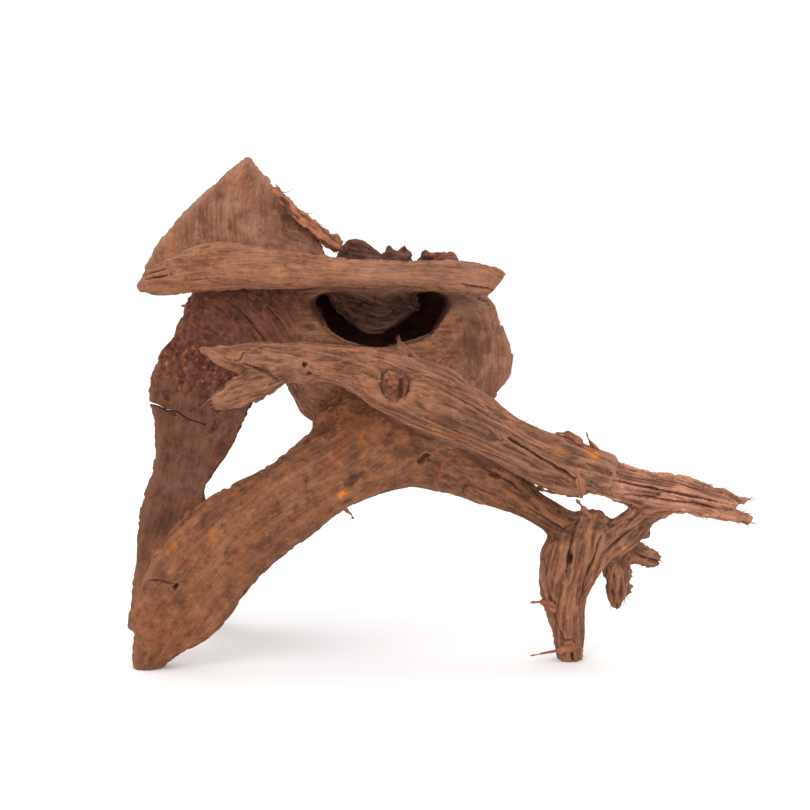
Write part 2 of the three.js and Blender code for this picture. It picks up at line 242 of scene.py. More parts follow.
# Crumbling rot: limb, place, length, width, strength.
ROT = [
    ("left_blade", (0.13, 0.15), 62, 80, 1.0),
    ("cave_left_wall", (0.9, -0.6), 34, 34, 0.7),
    ("roof_burl", (0.5, 0.0), 20, 14, 0.8),
]
# Holes: limb, place, radius, depth.
HOLES = [
    ("hub", (0.67, -0.3), 2.3, 6.0),
    ("hub", (0.69, -0.22), 1.6, 4.0),
    ("left_leg", (0.25, 0.3), 1.7, 4.0),
    ("front_branch", (0.235, 0.15), 1.7, 4.0),
    ("front_branch", (0.25, -0.12), 1.3, 3.0),
    ("front_branch", (0.43, -0.55), 2.0, 5.0),
    ("front_branch", (0.46, 0.95), 2.6, 5.0),
    ("fan", (0.7, -0.6), 1.5, 3.0),
    ("right_foot", (0.3, -0.2), 2.0, 4.0),
    ("rear_leg", (0.5, 0.0), 2.2, 3.0),
]
# Cracks: limb, places from end to end, width, depth.
CRACKS = [
    ("front_branch", [(0.72, 0.08), (0.8, -0.12), (0.9, -0.38)], 1.9, 6.5),
    ("front_branch", [(0.5, -0.3), (0.62, -0.42)], 1.1, 2.4),
    ("front_branch", [(0.55, 0.5), (0.66, 0.42)], 1.0, 1.8),
    ("front_branch", [(0.1, -0.3), (0.16, -0.45), (0.19, -0.7)], 1.8, 5.0),
    ("branch_end", [(0.05, 0.35), (0.95, 0.15)], 1.4, 3.5),
    ("branch_end", [(0.25, -0.3), (0.98, -0.2)], 1.4, 3.2),
    ("branch_end", [(0.4, 0.75), (0.8, 0.6)], 1.0, 2.0),
    ("left_leg", [(0.2, 0.85), (0.23, 0.6), (0.25, 0.35)], 0.9, 1.4),
    ("top_beam", [(0.02, 0.1), (0.09, 0.25)], 1.1, 2.0),
    ("top_beam", [(0.03, -0.15), (0.11, -0.05)], 1.1, 2.0),
    ("top_beam", [(0.86, -0.2), (0.95, -0.45)], 1.3, 2.6),
    ("right_foot", [(0.06, -0.4), (0.4, -0.25)], 1.6, 4.0),
    ("right_foot", [(0.1, 0.5), (0.45, 0.35)], 1.5, 3.6),
    ("right_foot", [(0.9, 0.2), (1.0, 0.2)], 1.6, 4.0),
    ("cross_branch", [(0.05, -0.1), (0.6, 0.1)], 1.6, 3.6),
    ("lower_branch", [(0.6, -0.1), (0.95, -0.3)], 1.3, 3.0),
    ("lower_branch", [(0.25, 0.35), (0.55, 0.3)], 1.1, 2.4),
    ("stub", [(0.3, 0.1), (1.0, 0.1)], 1.4, 3.6),
    ("hub", [(0.5, 0.45), (0.95, 0.3)], 1.6, 4.0),
    ("inner_root", [(0.25, 0.2), (0.6, 0.1)], 1.3, 3.5),
    ("inner_root", [(0.4, -0.3), (0.75, -0.2)], 1.2, 3.0),
    ("cave_left_wall", [(0.2, 0.1), (0.75, 0.0)], 1.1, 1.8),
    ("rear_leg", [(0.1, 0.2), (0.6, 0.2)], 1.6, 3.2),
    ("cave_back_wall", [(0.2, 0.3), (0.6, 0.2)], 1.4, 3.0),
]
# Knots that the grain runs round: limb, place, reach.
KNOTS = [
    ("front_branch", (0.24, 0.02), 6),
    ("hub", (0.67, -0.3), 11),
    ("left_leg", (0.73, -0.3), 9),
]
# The blade's open crack. Each bend: how far right of the blade's left side, how far above the crack's
# level. Then the crack's width at the left, and its level as a part of the blade's height.
BLADE_CRACK = [(6, 4), (21, -1), (26, -4), (34, -5), (41, -10), (53, -14)]
BLADE_CRACK_WIDTH = 2.2
BLADE_CRACK_RISE = 0.67


# ---- noise and grain ---------------------------------------------------------------------------


def hashed(ix, iy, iz, seed):
    """A repeatable number from -1 to 1 for each whole point."""
    h = (
        ix.astype(np.uint32) * np.uint32(374761393)
        + iy.astype(np.uint32) * np.uint32(668265263)
        + iz.astype(np.uint32) * np.uint32(2246822519)
        + np.uint32(seed * 3266489917 & 0xFFFFFFFF)
    )
    h = (h ^ (h >> np.uint32(15))) * np.uint32(2246822519)
    h = (h ^ (h >> np.uint32(13))) * np.uint32(3266489917)
    h = h ^ (h >> np.uint32(16))
    return (h & np.uint32(0xFFFF)).astype(np.float32) / 32767.5 - 1.0


def noise(points, seed):
    """Smooth noise from -1 to 1, one lump per unit."""
    whole = np.floor(points)
    part = (points - whole).astype(np.float32)
    cell = whole.astype(np.int64)
    ease = part * part * part * (part * (part * 6 - 15) + 10)
    total = np.zeros(len(points), np.float32)
    for dx in (0, 1):
        wx = ease[:, 0] if dx else 1 - ease[:, 0]
        for dy in (0, 1):
            wy = ease[:, 1] if dy else 1 - ease[:, 1]
            for dz in (0, 1):
                wz = ease[:, 2] if dz else 1 - ease[:, 2]
                total += wx * wy * wz * hashed(cell[:, 0] + dx, cell[:, 1] + dy, cell[:, 2] + dz, seed)
    return total * 1.4


def stretched(points, along, across, seed):
    """Noise drawn out along the grain, for points given in metres."""
    return noise(points / (np.array([along, across, across]) * MM), seed)


def ridges(points, along, across, seed):
    """Sharp ridges along the grain, from 0 in the furrows to 1."""
    return 1 - np.minimum(np.abs(stretched(points, along, across, seed)) * 1.7, 1)


def smoothstep(low, high, value):
    """Eases from 0 at low to 1 at high."""
    t = np.clip((value - low) / (high - low), 0, 1)
    return t * t * (3 - 2 * t)


def corners(mesh):
    """The places of a mesh's vertices."""
    places = np.empty(len(mesh.vertices) * 3, np.float32)
    mesh.vertices.foreach_get("co", places)
    return places.reshape(-1, 3).astype(np.float64)


def vertex_normals(mesh):
    normals = np.empty(len(mesh.vertices) * 3, np.float32)
    mesh.vertex_normals.foreach_get("vector", normals)
    return normals.reshape(-1, 3).astype(np.float64)


class GrainLine:
    """The middle line of a limb, and places along, across and deep into the limb."""

    SLICES = 9
    STEPS = 48

    def __init__(self, name):
        points = corners(frame["nodes"][name].data)
        middle = (points.min(0) + points.max(0)) / 2
        if name in GRAIN_ALONG:
            axis = np.array(GRAIN_ALONG[name])
            axis = axis / np.linalg.norm(axis)
        else:
            axis = np.linalg.svd(points - points.mean(0), full_matrices=False)[2][0]
        if axis[0] - 0.6 * axis[2] < 0:
            axis = -axis
        run = (points - middle) @ axis
        knots = np.linspace(run.min(), run.max(), self.SLICES)
        reach = (knots[1] - knots[0]) * 0.8
        rows = []
        for knot in knots:
            near = points[np.abs(run - knot) <= reach]
            if len(near) < 4:
                near = points[np.argsort(np.abs(run - knot))[:6]]
            slice_middle = (near.min(0) + near.max(0)) / 2
            rows.append(slice_middle + axis * (knot - (slice_middle - middle) @ axis))
        rows = np.array(rows)
        for _ in range(2):
            rows[1:-1] = (rows[:-2] + 2 * rows[1:-1] + rows[2:]) / 4
        steps = np.linspace(0, self.SLICES - 1, self.STEPS)
        self.line = np.stack([np.interp(steps, range(self.SLICES), rows[:, k]) for k in range(3)], 1)
        self.tangent = np.gradient(self.line, axis=0)
        for _ in range(6):
            self.tangent[1:-1] = (self.tangent[:-2] + self.tangent[1:-1] + self.tangent[2:]) / 3
        self.tangent /= np.linalg.norm(self.tangent, axis=1, keepdims=True)
        gaps = np.linalg.norm(np.diff(self.line, axis=0), axis=1)
        self.run = np.concatenate([[0], np.cumsum(gaps)])
        self.across = np.cross(self.tangent, (0, 1, 0))
        self.across /= np.linalg.norm(self.across, axis=1, keepdims=True)
        self.deep = np.cross(self.tangent, self.across)
        self.length = self.run[-1]
        local, step = self.places(points)
        self.width = np.full(self.STEPS, 0.002)
        for k in range(self.STEPS):
            near = np.abs(step - k) <= 4
            if near.any():
                self.width[k] = max(np.abs(local[near, 1]).max(), 0.002)

    def places(self, points):
        """(along, across, deep) in metres for each point, and the nearest step of the line."""
        squared = ((points[:, None, :] - self.line[None]) ** 2).sum(2)
        step = squared.argmin(1)
        away = points - self.line[step]
        along = (away * self.tangent[step]).sum(1)
        across = (away * self.across[step]).sum(1)
        deep = (away * self.deep[step]).sum(1)
        return np.stack([self.run[step] + along, across, deep], 1), step

    def spot(self, place):
        """A mark's place in metres along and across the limb."""
        step = int(round(place[0] * (self.STEPS - 1)))
        return place[0] * self.length, place[1] * self.width[step]


# ---- the fused surface -------------------------------------------------------------------------


def settings():
    return bpy.context.scene.driftwood


def link(obj):
    bpy.context.scene.collection.objects.link(obj)
    return obj


def only(obj):
    """Makes obj the one selected and active object."""
    bpy.ops.object.select_all(action="DESELECT")
    obj.select_set(True)
    bpy.context.view_layer.objects.active = obj


def baked(obj):
    """obj's mesh with its modifiers applied."""
    only(obj)
    for modifier in list(obj.modifiers):
        bpy.ops.object.modifier_apply(modifier=modifier.name)
    return obj


def swollen_copy(bm, name, swell):
    """Adds a merged copy of a limb, swollen all over, to bm."""
    own = bmesh.new()
    own.from_mesh(frame["nodes"][name].data)
    bmesh.ops.remove_doubles(own, verts=own.verts, dist=MERGE_GAP)
    own.normal_update()
    for vert in own.verts:
        behind = smoothstep(5 * MM, 25 * MM, vert.co.y)
        vert.co += vert.normal * (swell + THIN_WALLS.get(name, 0) * MM * behind)
    scratch = bpy.data.meshes.new("limb_copy")
    own.to_mesh(scratch)
    own.free()
    bm.from_mesh(scratch)
    bpy.data.meshes.remove(scratch)


def remesh(obj, size):
    modifier = obj.modifiers.new("voxels", "REMESH")
    modifier.mode = "VOXEL"
    modifier.voxel_size = size
    return baked(obj)


class Skin:
    """A mesh's vertices as arrays, for smoothing and carving."""

    def __init__(self, mesh):
        self.mesh = mesh
        self.co = corners(mesh)
        edges = np.empty(len(mesh.edges) * 2, np.int64)
        mesh.edges.foreach_get("vertices", edges)
        self.edges = edges.reshape(-1, 2)
        ends = self.edges
        self.count = np.bincount(ends.ravel(), minlength=len(self.co))[:, None]

    def average(self, values):
        """The mean of each vertex's neighbours."""
        a, b = self.edges[:, 0], self.edges[:, 1]
        values = values.reshape(len(self.co), -1)
        total = np.empty_like(values)
        for k in range(values.shape[1]):
            total[:, k] = np.bincount(a, values[b, k], len(values))
            total[:, k] += np.bincount(b, values[a, k], len(values))
        return total / self.count

    def push(self):
        self.mesh.vertices.foreach_set("co", self.co.astype(np.float32).ravel())
        self.mesh.update()

    def normals(self):
        self.push()
        return vertex_normals(self.mesh)

    def smooth(self, rounds):
        """Takes the flats off without shrinking thin places."""
        for _ in range(rounds):
            for step in (0.5, -0.52):
                self.co += step * (self.average(self.co) - self.co)

    def soften(self, amount, rounds):
        """Rounds the surface off where amount is near 1."""
        for _ in range(rounds):
            self.co += amount[:, None] * 0.6 * (self.average(self.co) - self.co)

    def fill_hollows(self, rounds):
        """Fillets where limbs meet: only hollow creases move, and only outwards."""
        normals = self.normals()
        for turn in range(rounds):
            if turn % 6 == 5:
                normals = self.normals()
            rise = ((self.average(self.co) - self.co) * normals).sum(1)
            self.co += 0.6 * np.maximum(rise, 0)[:, None] * normals


def round_mouth(points):
    """1 at the rim of the hollow's mouth, 0 away from it."""
    low, high = (np.array(c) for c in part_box("inner_root"))
    across = np.abs(points[:, 0] - (low[0] + high[0]) / 2) / (1.75 * (high[0] - low[0]) / 2)
    drop = np.abs(points[:, 2] - high[2]) / (1.3 * (high[2] - low[2]))
    out = np.hypot(across, drop)
    rim = smoothstep(0.55, 0.8, out) * smoothstep(1.45, 1.15, out)
    front = smoothstep(high[1], low[1] - 4 * MM, points[:, 1])
    return rim * front * smoothstep(high[2] + 2 * MM, high[2] - 8 * MM, points[:, 2])


def fused_root(voxel):
    """One closed surface over all the limbs, filleted where they meet."""
    bm = bmesh.new()
    for name in LIMBS:
        swollen_copy(bm, name, LIMB_SWELL)
    mesh = bpy.data.meshes.new("fused_root")
    bm.to_mesh(mesh)
    bm.free()
    root = link(bpy.data.objects.new("fused_root", mesh))
    remesh(root, ROUGH_SIZE)
    rough = Skin(root.data)
    rough.smooth(9)
    rough.fill_hollows(26)
    rough.soften(round_mouth(rough.co), 90)
    rough.smooth(3)
    rough.push()
    remesh(root, voxel)
    fine = Skin(root.data)
    fine.smooth(3)
    fine.push()
    return root, fine


def limb_trees():
    """A search tree over each limb's solid."""
    trees = {}
    for name in LIMBS:
        mesh = frame["nodes"][name].data
        trees[name] = BVHTree.FromPolygons(
            [v.co for v in mesh.vertices], [p.vertices[:] for p in mesh.polygons]
        )
    return trees


def limb_distances(points, trees):
    """How far each point is from each limb, up to a short reach, and beyond it a large number."""
    reach = 9 * MM
    far = np.full((len(points), len(LIMBS)), 1.0, np.float32)
    for column, name in enumerate(LIMBS):
        low, high = (np.array(c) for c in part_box(name))
        near = ((points > low - reach) & (points < high + reach)).all(1).nonzero()[0]
        for i in near:
            found = trees[name].find_nearest(points[i], reach)
            if found[3] is not None:
                far[i, column] = found[3]
    return far


def in_wood(point, trees):
    """Whether a point lies inside one of the limbs."""
    for tree in trees.values():
        place, normal, _, gap = tree.find_nearest(point, 60 * MM)
        if place is not None and (gap < 0.5 * MM or (point - place).dot(normal) < 0):
            return True
    return False


def carve(local, seed, stringy, lumpy, rotten, knots):
    """The relief of one limb in metres, and how deep in a furrow each point is, 0 to 1."""
    bent = local.copy()
    for axis in (1, 2):
        sway = 3.0 * stretched(local, 60, 26, seed + axis) + 0.8 * stretched(local, 15, 7, seed + 13 + axis)
        bent[:, axis] += sway * MM
    collar = np.zeros(len(local))
    for (along, across), reach in knots:
        away = np.stack([local[:, 0] - along, local[:, 1] - across], 1)
        gap = np.linalg.norm(away, axis=1) + 0.1 * MM
        pull = np.exp(-((gap / (reach * 1.3 * MM)) ** 2))
        bent[:, 1] += np.sign(away[:, 1]) * pull * (gap - 0.6 * np.abs(away[:, 1]))
        collar += 0.7 * np.exp(-(((gap - reach * 1.1 * MM) / (reach * 0.3 * MM)) ** 2))
    lumps = stretched(local, 42, 26, seed + 2) * 1.3 + stretched(local, 15, 11, seed + 3) * 0.55
    broad = ridges(bent, 80, 10, seed + 4)
    narrow = ridges(bent, 46, 4.4, seed + 5)
    threads = ridges(bent, 28, 2.3, seed + 6)
    crevice = smoothstep(0.94, 1.0, ridges(bent, 70, 12, seed + 7))
    crevice = crevice * smoothstep(0.0, 0.5, stretched(local, 30, 20, seed + 8))
    flakes = smoothstep(0.12, 0.26, stretched(bent, 26, 6, seed + 9))
    crumbs = stretched(local, 3.4, 2.6, seed + 10) + 0.6 * stretched(local, 7, 6, seed + 11)
    height = lumpy * (lumps + collar)
    height += stringy * ((broad - 0.6) * 0.9 + (narrow - 0.55) * 0.95 + (threads - 0.5) * 0.6)
    height += stringy * (flakes * 0.55 - crevice * 2.0) + rotten * crumbs * 1.5
    # The furrow value also darkens the colour: painted shade in the grooves, crevices and rot pits.
    furrow = stringy * (0.5 * smoothstep(0.4, 0.05, narrow) + 0.35 * smoothstep(0.35, 0.0, threads))
    furrow += stringy * crevice * 0.9 + rotten * 0.6 * smoothstep(0.1, -0.8, crumbs)
    return height * MM, np.clip(furrow, 0, 1)


def broken(points, name):
    """Pulls a limb's points in to the flat faces that it is broken along."""
    low, high = (np.array(c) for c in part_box(name))
    middle, half = (low + high) / 2, (high - low) / 2
    clear_of_wall = np.ones(len(points))
    if name == "inner_root":
        clear_of_wall = smoothstep(high[1] - 4 * MM, high[1] - 12 * MM, points[:, 1])
    for facing, out in BROKEN_FACES[name]:
        axis = np.array(facing) / np.linalg.norm(facing)
        limit = out * np.linalg.norm(axis * half)
        over = np.maximum((points - middle) @ axis - limit, 0) * clear_of_wall
        points = points - over[:, None] * axis
    return points


def edge_bites(points, normals, depth):
    """How deep the edges of a plate or a torn limb are bitten, in metres."""
    rim = smoothstep(0.75, 0.35, np.abs(normals[:, 1]))
    bites = smoothstep(0.15, 0.75, stretched(points, 6, 6, 301))
    nibbles = smoothstep(0.2, 0.8, stretched(points, 2.8, 2.8, 302))
    return depth * MM * rim * (bites + 0.6 * nibbles)


def gap_to_line(points, line):
    """How far each point is from a bent line, and how far along the line it is, 0 to 1."""
    best = np.full(len(points), 1.0)
    part = np.zeros(len(points))
    pieces_of_line = len(line) - 1
    for k in range(pieces_of_line):
        a, b = np.array(line[k]), np.array(line[k + 1])
        span = b - a
        t = np.clip(((points - a) @ span) / max(span @ span, 1e-12), 0, 1)
        gap = np.linalg.norm(points - a - t[:, None] * span, axis=1)
        closer = gap < best
        best[closer] = gap[closer]
        part[closer] = (k + t[closer]) / pieces_of_line
    return best, part


def rows_of(rows, name):
    """The rows of a list that belong to one limb, without its name."""
    return [row[1:] for row in rows if row[0] == name]


def marks_on(name, line, local, front):
    """The depth, the painted shade of holes and cracks, the stains and painted shadows, the heartwood and the
    rot that a limb's marks add at each point.
    """
    flat = local[:, :2]
    wander = np.stack([stretched(local, 6, 6, 91), stretched(local, 6, 6, 92)], 1)
    ragged = stretched(local, 3.5, 2.2, 93)
    depth, dark, stain, heart, rot = (np.zeros(len(local)) for _ in range(5))

    def patch(place, long, wide):
        away = flat - line.spot(place) + wander * (wide * 0.4 * MM)
        blob = np.exp(-((away[:, 0] / (long * 0.6 * MM)) ** 2 + (away[:, 1] / (wide * 0.6 * MM)) ** 2))
        return blob + 0.3 * ragged * smoothstep(0.02, 0.3, blob)

    for place, long, wide, strength in rows_of(STAINS_AND_SHADOWS, name):
        stain = np.maximum(stain, smoothstep(0.15, 0.75, patch(place, long, wide)) * strength * front)
    for place, long, wide, strength in rows_of(ROT, name):
        here = smoothstep(0.1, 0.6, patch(place, long, wide)) * strength * front
        crumbs = stretched(local, 4.5, 3.0, 94) + 0.5 * stretched(local, 2.4, 1.8, 95)
        depth += here * (0.7 - 1.2 * crumbs) * MM
        rot = np.maximum(rot, here)
    for place, long, wide, strength in rows_of(HEARTWOOD, name):
        bare = smoothstep(0.3, 0.6, patch(place, long, wide)) * strength * front
        heart = np.maximum(heart, bare)
        depth += 0.4 * MM * bare
    # Holes and cracks also darken the colour through dark: painted shade in their depths.
    for place, radius, deep in rows_of(HOLES, name):
        away = (flat - line.spot(place)) * (0.7, 1.0) + wander * (0.35 * radius * MM)
        gap = np.linalg.norm(away, axis=1) + ragged * 0.25 * radius * MM
        hole = smoothstep(radius * 1.15 * MM, radius * 0.3 * MM, gap) * front
        depth += deep * hole * MM
        dark = np.maximum(dark, hole)
    for places, wide, deep in rows_of(CRACKS, name):
        gap, part = gap_to_line(flat + wander * 0.35 * MM, [line.spot(p) for p in places])
        taper = np.sin(np.pi * np.clip(part * 0.9 + 0.05, 0, 1)) ** 0.5
        opened = wide * MM * taper * np.clip(0.75 + 0.5 * stretched(local, 8, 8, 97), 0.3, 1.2) + 1e-6
        cut = smoothstep(opened, 0.25 * opened, gap) * taper * front
        depth += deep * cut * MM
        dark = np.maximum(dark, cut)
    return depth, dark, stain, heart, rot


def weather(skin, distances):
    """Carves the grain and marks into the surface and returns what its colour needs."""
    normals = skin.normals()
    reach = np.exp(-((distances / (4.5 * MM)) ** 2))
    borders = [2.2 * MM * stretched(skin.co, 9, 9, 400 + k) for k in range(len(LIMBS))]
    nearest = (distances + np.stack(borders, 1)).argmin(1)
    reach[np.arange(len(reach)), nearest] += 1e-4
    share = reach / reach.sum(1, keepdims=True)
    total = len(skin.co)
    height, furrow, stain, heart, rotten_wood = (np.zeros(total) for _ in range(5))
    moved, tint, grain = (np.zeros((total, 3)) for _ in range(3))
    colours = settings()
    for column, (name, (finish, stringy, lumpy, rotten)) in enumerate(LIMBS.items()):
        here = (share[:, column] > 0.02).nonzero()[0]
        if not len(here):
            continue
        weight = share[here, column]
        line = GrainLine(name)
        local, step = line.places(skin.co[here])
        knots = [(line.spot(place), size) for place, size in rows_of(KNOTS, name)]
        if name == "front_branch":
            low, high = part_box("dead_knot")
            middle = line.places(np.array([(low + high) / 2]))[0][0]
            knots.append((middle[:2], (high.x - low.x) / 2 / MM))
        relief, grooves = carve(local, 20 * column, stringy, lumpy, rotten, knots)
        facing = (normals[here] * line.deep[step]).sum(1)
        front = smoothstep(0.05, 0.45, facing)
        depth, dark, stain_and_shadow_marks, bare, rot = marks_on(name, line, local, front)
        if name in EDGE_WEAR:
            depth = depth + edge_bites(skin.co[here], normals[here], EDGE_WEAR[name])
        height[here] += weight * (relief - depth)
        if name in BROKEN_FACES:
            moved[here] += weight[:, None] * (broken(skin.co[here], name) - skin.co[here])
        # Furrows, holes and cracks: the dark that the material lays on them is painted shade.
        furrow[here] += weight * np.maximum(grooves, dark)
        stain[here] += weight * stain_and_shadow_marks
        heart[here] += weight * bare
        rotten_wood[here] += weight * rot
        tint[here] += weight[:, None] * np.array(getattr(colours, finish))[None, :3]
        mine = nearest[here] == column
        grain[here[mine]] = local[mine] + (0.37 * column, 0, 0)
    # Painted shade on the walls that look into the hollow, laid into the stain value.
    stain = np.maximum(stain, painted_hollow_shade(skin.co, normals))
    thin = thinness(skin, normals)
    height = np.where(height < 0, height * thin, height * (0.4 + 0.6 * thin))
    skin.co += moved + normals * height[:, None]
    skin.co = keep_inside(skin.co)
    return nearest, {
        "thick": thin,
        "tint": tint,
        "grain": grain,
        "furrow": np.clip(furrow, 0, 1),
        "stain": np.clip(stain, 0, 1),
        "heart": np.clip(heart, 0, 1),
        "rot": np.clip(rotten_wood, 0, 1),
        "clear": smoothstep(0.45, 0.9, share.max(1)),
        "cavity": relief_for_shade_and_wear(skin),
    }


def relief_for_shade_and_wear(skin):
    """How sunken each point is, from -1 on the ridges to 1 in the hollows; the wood material darkens the
    hollows with it as painted shade and lightens the ridges as wear and painted highlight.
    """
    normals = skin.normals()
    smoothed = skin.co.copy()
    done = 0
    total = np.zeros(len(skin.co))
    for rounds, depth, weight in ((6, 0.22, 0.45), (22, 0.6, 0.35), (70, 1.6, 0.5)):
        for _ in range(rounds - done):
            smoothed = skin.average(smoothed)
        done = rounds
        sunk = ((smoothed - skin.co) * normals).sum(1)
        total += weight * np.clip(sunk / (depth * MM), -1, 1)
    return np.clip(total, -1, 1)


def painted_hollow_shade(points, normals):
    """Painted shade on the walls that look into the hollow."""
    low, high = (np.array(c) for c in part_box("inner_root"))
    middle = (low + high) / 2
    inward = middle - points
    gap = np.linalg.norm(inward, axis=1)
    facing = (inward * normals).sum(1) / gap
    behind = smoothstep(low[1] - 16 * MM, low[1] + 4 * MM, points[:, 1])
    own = ((points > low - 2 * MM) & (points < high + 2 * MM)).all(1)
    return 0.97 * smoothstep(-0.1, 0.35, facing) * smoothstep(80 * MM, 66 * MM, gap) * behind * ~own


def thinness(skin, normals):
    """0 where the wood is too thin to carve deeply, 1 where it is thick."""
    tree = BVHTree.FromPolygons(
        [Vector(c) for c in skin.co.tolist()], [p.vertices[:] for p in skin.mesh.polygons]
    )
    limit = 14 * MM
    picked = np.arange(0, len(skin.co), 5)
    thick = np.full(len(skin.co), -1.0)
    for i in picked:
        start = skin.co[i] - normals[i] * 0.4 * MM
        hit = tree.ray_cast(Vector(start), Vector(-normals[i]), limit)
        thick[i] = hit[3] if hit[3] is not None else limit
    known = (thick >= 0).astype(np.float64)
    value = np.where(known > 0, thick, 0)
    for _ in range(7):
        value = value + skin.average(value)[:, 0] * 4
        known = known + skin.average(known)[:, 0] * 4
    value = value / np.maximum(known, 1e-9)
    return np.clip((value - 1.5 * MM) / (9 * MM), 0.12, 1)


def keep_inside(points):
    """Nothing leaves the root's own box: the feet stay flat on the ground."""
    low, high = (np.array(c) for c in CAD_BOX)
    grown = 2.5 * MM
    points = np.clip(points, low - grown, high + grown)
    points[:, 2] = np.maximum(points[:, 2], low[2])
    return points


def store(mesh, name, kind, values):
    """Writes one value per vertex to a named attribute."""
    attribute = mesh.attributes.new(name, kind, "POINT")
    if kind == "FLOAT":
        attribute.data.foreach_set("value", values.astype(np.float32).ravel())
    elif kind == "FLOAT_COLOR":
        opaque = np.concatenate([values, np.ones((len(values), 1))], 1)
        attribute.data.foreach_set("color", opaque.astype(np.float32).ravel())
    else:
        attribute.data.foreach_set("vector", values.astype(np.float32).ravel())


def steady_labels(skin, nearest, rounds):
    """Each vertex's limb, with the ragged borders between limbs evened out."""
    votes = np.eye(len(LIMBS), dtype=np.float32)[nearest]
    for _ in range(rounds):
        votes = 0.5 * votes + 0.5 * skin.average(votes).astype(np.float32)
    return votes.argmax(1)


def share_out(root, labels):
    """Splits the fused surface into one object for each limb."""
    mesh = root.data
    mesh.materials.clear()
    names = list(LIMBS)
    for name in names:
        mesh.materials.append(bpy.data.materials.new("label_" + name))
    first = np.empty(len(mesh.polygons), np.int32)
    mesh.polygons.foreach_get("loop_start", first)
    corner_vertex = np.empty(len(mesh.loops), np.int32)
    mesh.loops.foreach_get("vertex_index", corner_vertex)
    face_label = labels[corner_vertex[first]].astype(np.int32)
    mesh.polygons.foreach_set("material_index", face_label)
    mesh.polygons.foreach_set("use_smooth", np.ones(len(mesh.polygons), bool))
    only(root)
    bpy.ops.object.mode_set(mode="EDIT")
    bpy.ops.mesh.select_all(action="SELECT")
    bpy.ops.mesh.separate(type="MATERIAL")
    bpy.ops.object.mode_set(mode="OBJECT")
    made = {}
    for obj in list(bpy.context.selected_objects):
        if not len(obj.data.polygons):
            bpy.data.objects.remove(obj)
            continue
        label = obj.data.materials[obj.data.polygons[0].material_index].name
        made[label.removeprefix("label_")] = obj
    return made


def close_cuts(obj, trees):
    """Turns the rim of each cut into the wood, and caps it where the cap lies wholly in wood."""
    bm = bmesh.new()
    bm.from_mesh(obj.data)
    shading = bm.verts.layers.float_vector["shading"]
    thick = bm.verts.layers.float["thick"]
    open_edges = [edge for edge in bm.edges if edge.is_boundary]
    turned = bmesh.ops.extrude_edge_only(bm, edges=open_edges)["geom"]
    for vert in [g for g in turned if isinstance(g, bmesh.types.BMVert)]:
        vert.co -= vert[shading] * (RIM_DEPTH * vert[thick])
    inner = [g for g in turned if isinstance(g, bmesh.types.BMEdge) and g.is_boundary]
    caps = bmesh.ops.holes_fill(bm, edges=inner, sides=0)["faces"]
    sound = []
    for cap in caps:
        middle = cap.calc_center_median()
        rim = [vert.co for vert in cap.verts][:: max(1, len(cap.verts) // 16)]
        probes = [middle] + [middle.lerp(co, part) for co in rim for part in (0.4, 0.75)]
        if all(in_wood(probe, trees) for probe in probes):
            sound.append(cap)
    bmesh.ops.delete(bm, geom=[cap for cap in caps if cap not in sound], context="FACES_ONLY")
    if sound:
        bmesh.ops.poke(bm, faces=sound)
    bm.to_mesh(obj.data)
    bm.free()


def cut_through(obj, outline):
    """Cuts a hole of the given outline right through a piece, from front to back."""
    low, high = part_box(obj.name.removesuffix("_surface"))
    curve = bpy.data.curves.new("cutter", "CURVE")
    curve.dimensions = "2D"
    curve.fill_mode = "BOTH"
    curve.extrude = (high.y - low.y) / 2 + 10 * MM
    spline = curve.splines.new("POLY")
    spline.use_cyclic_u = True
    spline.points.add(len(outline) - 1)
    for point, (x, z) in zip(spline.points, outline):
        point.co = (x, z, 0, 1)
    wedge = link(bpy.data.objects.new("cutter", curve))
    only(wedge)
    bpy.ops.object.convert(target="MESH")
    bm = bmesh.new()
    bm.from_mesh(wedge.data)
    bmesh.ops.remove_doubles(bm, verts=bm.verts, dist=MERGE_GAP)
    bmesh.ops.rotate(bm, verts=bm.verts, matrix=Matrix.Rotation(math.pi / 2, 3, "X"))
    bmesh.ops.translate(bm, verts=bm.verts, vec=(0, (low.y + high.y) / 2, 0))
    bmesh.ops.recalc_face_normals(bm, faces=bm.faces)
    bm.to_mesh(wedge.data)
    bm.free()
    cut = obj.modifiers.new("cut", "BOOLEAN")
    cut.operation = "DIFFERENCE"
    cut.solver = "EXACT"
    cut.object = wedge
    baked(obj)
    bpy.data.objects.remove(wedge)
    # The crack's cut sides have no saved shading normal and are coloured near black: painted shade inside the
    # crack.
    shading = read(obj.data, "shading", "vector", 3)
    tint = read(obj.data, "tint", "color", 4)
    tint[np.linalg.norm(shading, axis=1) < 0.5] = CRACK_SIDE_SHADE
    obj.data.attributes["tint"].data.foreach_set("color", tint.ravel())


def read(mesh, name, field, size):
    """A named attribute's values, one row for each vertex."""
    values = np.empty(len(mesh.vertices) * size, np.float32)
    mesh.attributes[name].data.foreach_get(field, values)
    return values.reshape(-1, size)


def blade_crack():
    """The outline of the blade's open crack, a zigzag that closes up to the right."""
    low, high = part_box("left_blade")
    left, rise = low.x, low.z + BLADE_CRACK_RISE * (high.z - low.z)
    last = len(BLADE_CRACK) - 1
    upper, lower = [], []
    for k, (x, z) in enumerate(BLADE_CRACK):
        half = BLADE_CRACK_WIDTH * (1 - 0.8 * (k / last) ** 0.6) / 2
        upper.append((left + x * MM, rise + (z + half) * MM))
        lower.append((left + x * MM, rise + (z - half) * MM))
    return upper + lower[::-1]


def keep_normals(mesh):
    """Shades the piece as it was shaded before it was parted, so that no seam shows."""
    saved = read(mesh, "shading", "vector", 3)
    empty = np.linalg.norm(saved, axis=1) < 0.5
    saved[empty] = vertex_normals(mesh)[empty]
    mesh.normals_split_custom_set_from_vertices(saved.tolist())


# ---- materials ---------------------------------------------------------------------------------


